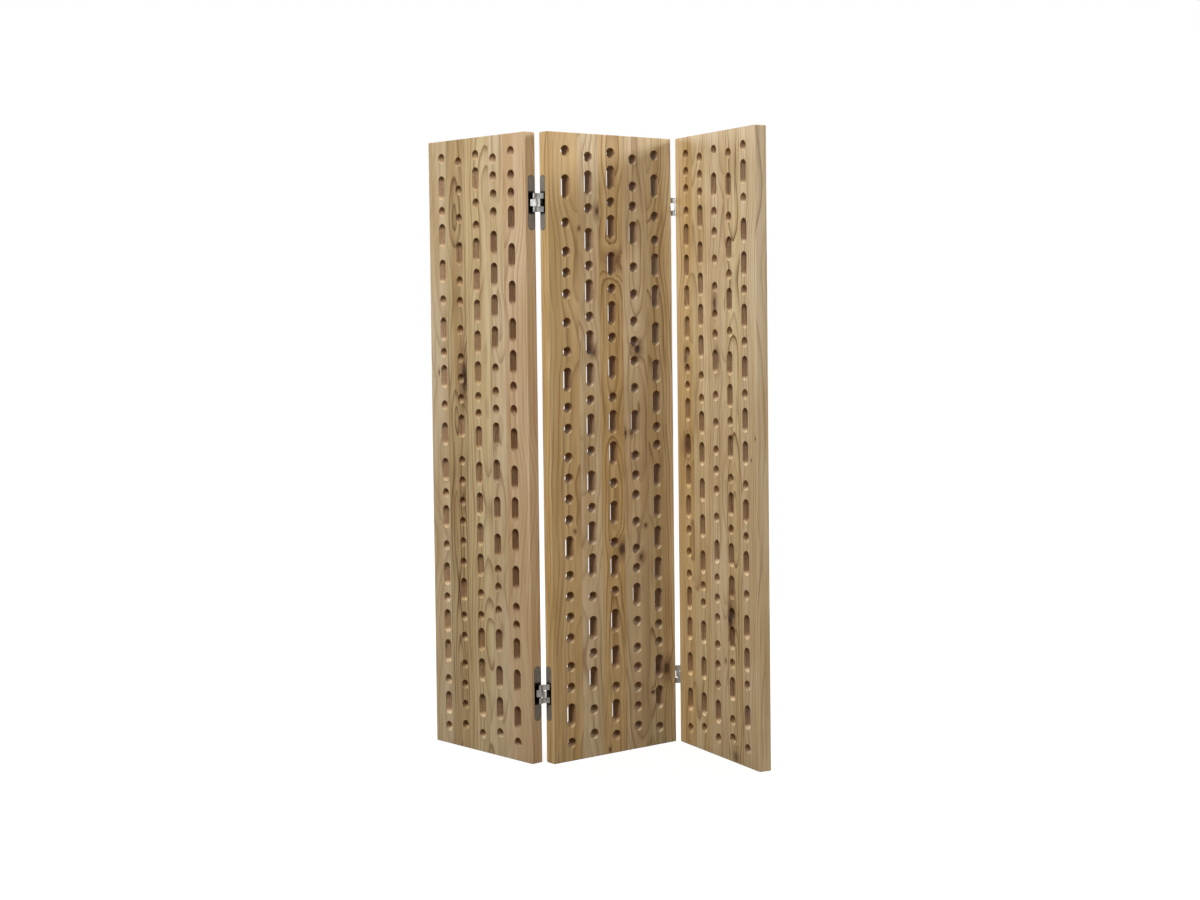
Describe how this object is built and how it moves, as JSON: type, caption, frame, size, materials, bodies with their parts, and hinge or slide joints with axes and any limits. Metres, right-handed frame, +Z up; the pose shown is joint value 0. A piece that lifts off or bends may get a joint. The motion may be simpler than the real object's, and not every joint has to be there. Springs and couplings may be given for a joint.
{
  "type": "folding room divider",
  "caption": "Folding screen of thick solid wood panels pierced with rows of round holes and upright slots, joined by concealed hinges let into the panel edges.",
  "frame": {"origin": "middle of the underside of the centre panel, on the floor", "axes": "+Z up; +X along the centre panel from the left fold to the right fold; -Y towards the viewer's side, the centre panel's front"},
  "size_m": [0.5808, 0.9532, 1.8],
  "materials": {
    "wood": "oiled, solid pale honey softwood in edge-glued staves",
    "housing": "cast, dark",
    "cap": "satin",
    "arm": "satin",
    "screw": "bright"
  },
  "bodies": {
    "centre_panel": {"centre_stave_1": "wood", "centre_stave_2": "wood", "centre_stave_3": "wood", "centre_stave_4": "wood", "centre_stave_5": "wood", "left_lower_centre_housing": "housing", "left_lower_centre_caps": "cap", "left_lower_centre_pivot_pin": "arm", "left_upper_centre_housing": "housing", "left_upper_centre_caps": "cap", "left_upper_centre_pivot_pin": "arm", "left_centre_wood_screws": "screw", "left_centre_cap_screws": "screw", "right_lower_centre_housing": "housing", "right_lower_centre_caps": "cap", "right_lower_centre_pivot_pin": "arm", "right_upper_centre_housing": "housing", "right_upper_centre_caps": "cap", "right_upper_centre_pivot_pin": "arm", "right_centre_wood_screws": "screw", "right_centre_cap_screws": "screw"},
    "left_outer_arms": {"left_lower_outer_arms": "arm", "left_lower_knuckle_pin": "arm", "left_upper_outer_arms": "arm", "left_upper_knuckle_pin": "arm"},
    "left_centre_arms": {"left_lower_centre_arm": "arm", "left_upper_centre_arm": "arm"},
    "left_panel": {"left_stave_1": "wood", "left_stave_2": "wood", "left_stave_3": "wood", "left_stave_4": "wood", "left_stave_5": "wood", "left_lower_wing_housing": "housing", "left_lower_wing_caps": "cap", "left_lower_wing_pivot_pin": "arm", "left_upper_wing_housing": "housing", "left_upper_wing_caps": "cap", "left_upper_wing_pivot_pin": "arm", "left_wing_wood_screws": "screw", "left_wing_cap_screws": "screw"},
    "right_outer_arms": {"right_lower_outer_arms": "arm", "right_lower_knuckle_pin": "arm", "right_upper_outer_arms": "arm", "right_upper_knuckle_pin": "arm"},
    "right_centre_arms": {"right_lower_centre_arm": "arm", "right_upper_centre_arm": "arm"},
    "right_panel": {"right_stave_1": "wood", "right_stave_2": "wood", "right_stave_3": "wood", "right_stave_4": "wood", "right_stave_5": "wood", "right_lower_wing_housing": "housing", "right_lower_wing_caps": "cap", "right_lower_wing_pivot_pin": "arm", "right_upper_wing_housing": "housing", "right_upper_wing_caps": "cap", "right_upper_wing_pivot_pin": "arm", "right_wing_wood_screws": "screw", "right_wing_cap_screws": "screw"}
  },
  "joints": [
    {"name": "left_wing_pivot", "type": "hinge", "parent": "left_centre_arms", "child": "left_panel", "pos_m": [-0.24189, 0.02849, 0], "axis": [0, 0, -1], "range_deg": [-73.83, 82.17]},
    {"name": "left_knuckle", "type": "hinge", "parent": "left_outer_arms", "child": "left_centre_arms", "pos_m": [-0.24, 0.0114, 0], "axis": [0, 0, 1], "range_deg": [-59.67, 66.33]},
    {"name": "left_centre_pivot", "type": "hinge", "parent": "centre_panel", "child": "left_outer_arms", "pos_m": [-0.2228, 0.011, 0], "axis": [0, 0, -1], "range_deg": [-70.83, 79.17]},
    {"name": "right_wing_pivot", "type": "hinge", "parent": "right_centre_arms", "child": "right_panel", "pos_m": [0.24065, -0.03227, 0], "axis": [0, 0, -1], "range_deg": [-86.33, 69.67]},
    {"name": "right_knuckle", "type": "hinge", "parent": "right_outer_arms", "child": "right_centre_arms", "pos_m": [0.2395, -0.01511, 0], "axis": [0, 0, 1], "range_deg": [-69.67, 56.33]},
    {"name": "right_centre_pivot", "type": "hinge", "parent": "centre_panel", "child": "right_outer_arms", "pos_m": [0.2228, -0.011, 0], "axis": [0, 0, -1], "range_deg": [-83.33, 66.67]}
  ],
  "couplings": [
    {"joint": "left_knuckle", "follows": "left_centre_pivot", "ratio": 0.8},
    {"joint": "left_wing_pivot", "follows": "left_centre_pivot", "ratio": 1},
    {"joint": "right_knuckle", "follows": "right_centre_pivot", "ratio": 0.8},
    {"joint": "right_wing_pivot", "follows": "right_centre_pivot", "ratio": 1}
  ]
}
